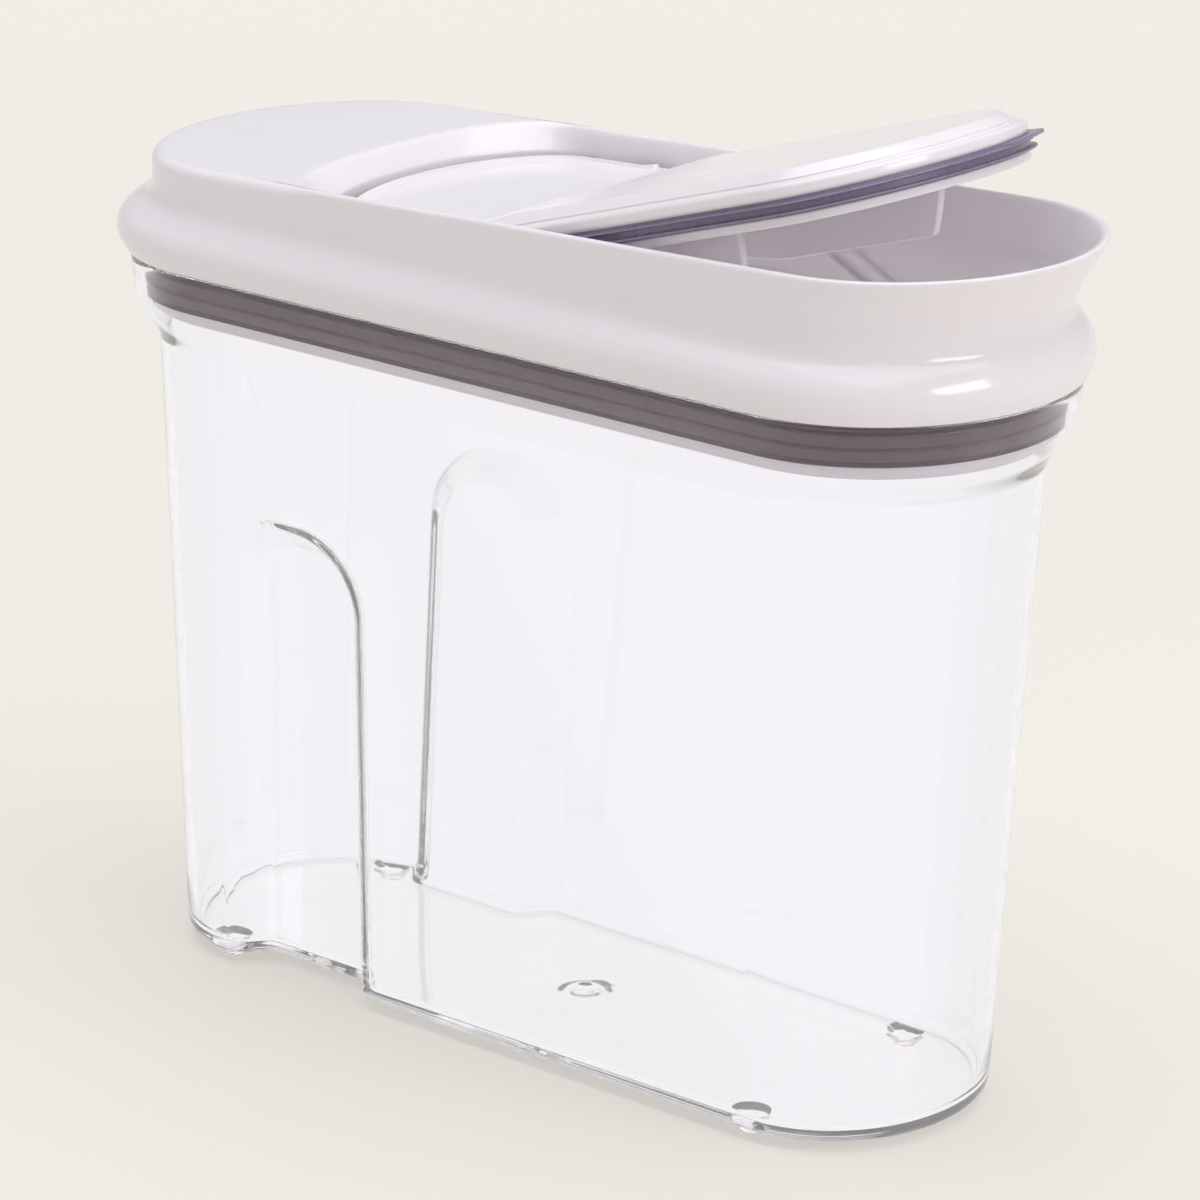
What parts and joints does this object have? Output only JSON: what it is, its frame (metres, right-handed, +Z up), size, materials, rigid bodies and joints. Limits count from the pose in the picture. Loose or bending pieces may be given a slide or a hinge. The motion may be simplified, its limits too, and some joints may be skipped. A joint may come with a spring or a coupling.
{
  "type": "food storage container",
  "caption": "Clear dry-food container with a white lift-off lid, a press pad and a flip-up pour flap sealed by grey finned gaskets.",
  "frame": {"origin": "centre of the footprint, on the plane of the four feet", "axes": "+X to the pouring end, +Y across to the far side, +Z up"},
  "size_m": [0.2945, 0.1164, 0.2649],
  "materials": {
    "clear_tub": "clear polished plastic",
    "white_lid": "gloss moulded white",
    "grey_seal": "satin soft rubber"
  },
  "bodies": {
    "container": {"container_body": "clear_tub"},
    "lid": {"lid_frame": "white_lid", "lid_plug_ring": "white_lid", "lid_gasket": "grey_seal"},
    "flap": {"flap_panel": "white_lid", "flap_gasket": "grey_seal", "flap_retainer": "white_lid"}
  },
  "joints": [
    {"name": "lid_lift", "type": "slide", "parent": "container", "child": "lid", "axis": [0, 0, 1], "range_m": [0, 0.06]},
    {"name": "flap_hinge", "type": "hinge", "parent": "lid", "child": "flap", "pos_m": [-0.0156, 0, 0.213], "axis": [0, 1, 0], "range_deg": [0, 17.5]}
  ]
}
